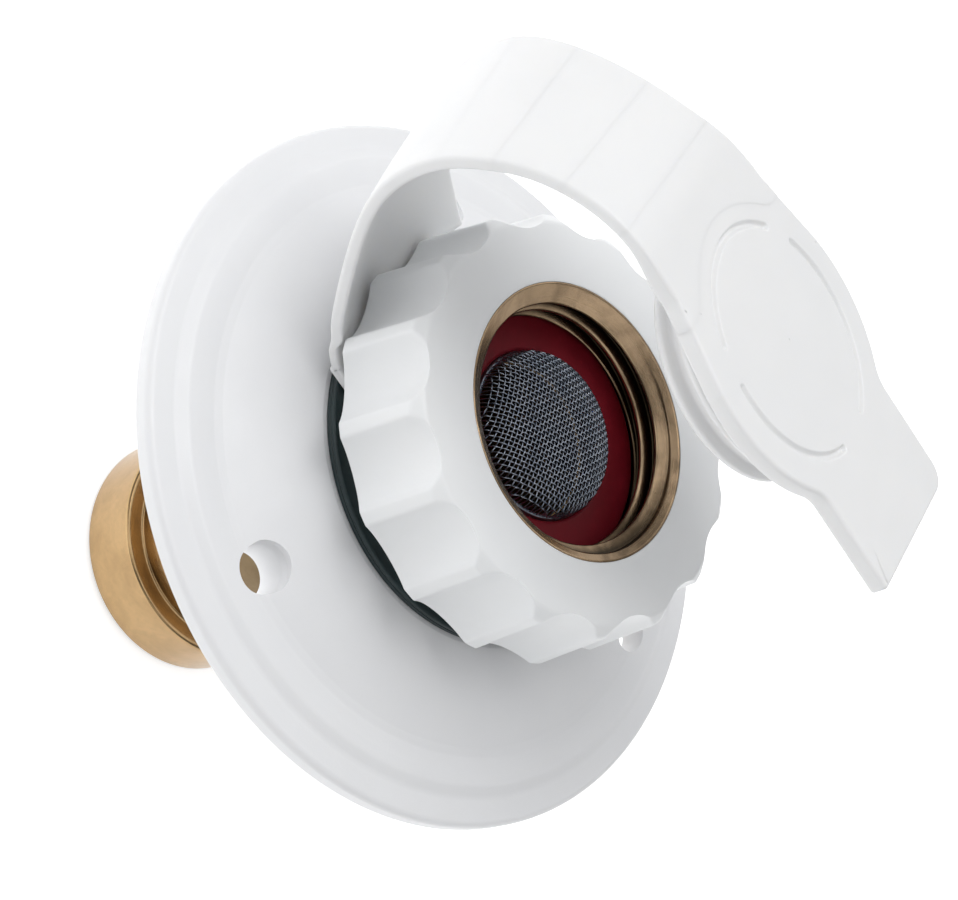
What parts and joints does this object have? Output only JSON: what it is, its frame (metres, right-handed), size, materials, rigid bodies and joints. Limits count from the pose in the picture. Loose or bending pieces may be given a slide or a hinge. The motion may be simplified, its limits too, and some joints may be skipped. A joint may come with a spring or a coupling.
{
  "type": "flanged water inlet",
  "caption": "Flanged deck water inlet with a swivel hose nut, domed strainer, in-line check valve and a plug on a moulded strap.",
  "frame": {"origin": "centre of the flange's mounting face, on the inlet's axis", "axes": "+Z outward along the inlet's axis, away from the wall or deck; +Y toward the side where the strap leaves the neck; +X completes the frame"},
  "size_m": [0.0762, 0.0762, 0.0959],
  "materials": {
    "white_plastic": "moulded, satin gloss",
    "white_strap": "moulded, soft, semi-matte",
    "brass": "turned",
    "brass_dark": "turned, tarnished",
    "black_rubber": "moulded",
    "red_rubber": "moulded",
    "steel_mesh": "woven wire",
    "spring_steel": "drawn wire",
    "grey_plastic": "moulded"
  },
  "bodies": {
    "base": {"flange": "white_plastic", "neck_gasket": "black_rubber", "flange_lock_nut": "brass", "inlet_neck_tube": "brass", "check_valve_body": "brass_dark", "rear_coupler": "brass", "valve_spring": "spring_steel", "valve_guide": "grey_plastic", "guide_snap_ring": "spring_steel", "hose_washer": "red_rubber", "strainer_dome": "steel_mesh"},
    "nut": {"swivel_nut_shell": "white_plastic", "swivel_thread_insert": "brass"},
    "poppet": {"valve_poppet": "grey_plastic", "poppet_seal": "black_rubber"},
    "strap_ring": {"strap_ring": "white_strap"},
    "plug": {"tethered_plug": "white_strap"},
    "strap_link_1": {"strap_link_1": "white_strap"},
    "strap_link_2": {"strap_link_2": "white_strap"},
    "strap_link_3": {"strap_link_3": "white_strap"},
    "strap_link_4": {"strap_link_4": "white_strap"},
    "strap_link_5": {"strap_link_5": "white_strap"},
    "strap_link_6": {"strap_link_6": "white_strap"},
    "strap_link_7": {"strap_link_7": "white_strap"},
    "strap_link_8": {"strap_link_8": "white_strap"}
  },
  "joints": [
    {"name": "nut_spin", "type": "hinge", "parent": "base", "child": "nut", "pos_m": [0, 0, 0.017], "axis": [0, 0, 1], "continuous": true},
    {"name": "strap_ring_turn", "type": "hinge", "parent": "base", "child": "strap_ring", "pos_m": [0, 0, 0.0092], "axis": [0, 0, 1], "continuous": true},
    {"name": "cap_close", "type": "hinge", "parent": "strap_ring", "child": "strap_link_1", "pos_m": [0, 0.02033, 0.0091], "axis": [1, 0, 0], "range_deg": [-52.47, 0]},
    {"name": "strap_bend_a", "type": "hinge", "parent": "strap_link_1", "child": "strap_link_2", "pos_m": [0, 0.02617, 0.01428], "axis": [1, 0, 0], "range_deg": [-0.05, 11.54]},
    {"name": "strap_bend_b", "type": "hinge", "parent": "strap_link_2", "child": "strap_link_3", "pos_m": [0, 0.02992, 0.02134], "axis": [1, 0, 0], "range_deg": [-0.05, 40.18]},
    {"name": "strap_fold", "type": "hinge", "parent": "strap_link_3", "child": "strap_link_4", "pos_m": [0, 0.03202, 0.02696], "axis": [1, 0, 0], "range_deg": [-80, 0]},
    {"name": "strap_bend_c", "type": "hinge", "parent": "strap_link_4", "child": "strap_link_5", "pos_m": [0, 0.03282, 0.03288], "axis": [1, 0, 0], "range_deg": [-0.05, 29.25]},
    {"name": "strap_bend_d", "type": "hinge", "parent": "strap_link_5", "child": "strap_link_6", "pos_m": [0, 0.03162, 0.03873], "axis": [1, 0, 0], "range_deg": [-0.05, 12.97]},
    {"name": "strap_roll_a", "type": "hinge", "parent": "strap_link_6", "child": "strap_link_7", "pos_m": [0, 0.0284, 0.034], "axis": [0, 1, 0], "range_deg": [-4.65, 0.05]},
    {"name": "strap_roll_b", "type": "hinge", "parent": "strap_link_7", "child": "strap_link_8", "pos_m": [0, 0.02267, 0.034], "axis": [0, 1, 0], "range_deg": [-4.65, 0.05]},
    {"name": "plug_tilt", "type": "hinge", "parent": "strap_link_8", "child": "plug", "pos_m": [0.00239, 0.01683, 0.04875], "axis": [0.9871, 0, -0.1599], "range_deg": [-41.31, 0.05]},
    {"name": "poppet_slide", "type": "slide", "parent": "base", "child": "poppet", "axis": [0, 0, -1], "range_m": [0, 0.004], "stiffness_N_per_m": 400, "springref_m": -0.003, "deforming": ["valve_spring"]}
  ],
  "couplings": [
    {"joint": "strap_bend_a", "follows": "cap_close", "ratio": -0.21901},
    {"joint": "strap_bend_b", "follows": "cap_close", "ratio": -0.76473},
    {"joint": "strap_bend_c", "follows": "cap_close", "ratio": -0.55643},
    {"joint": "strap_bend_d", "follows": "cap_close", "ratio": -0.24618},
    {"joint": "strap_roll_a", "follows": "cap_close", "ratio": 0.087665},
    {"joint": "strap_roll_b", "follows": "cap_close", "ratio": 0.087665},
    {"joint": "plug_tilt", "follows": "cap_close", "ratio": 0.78633}
  ]
}
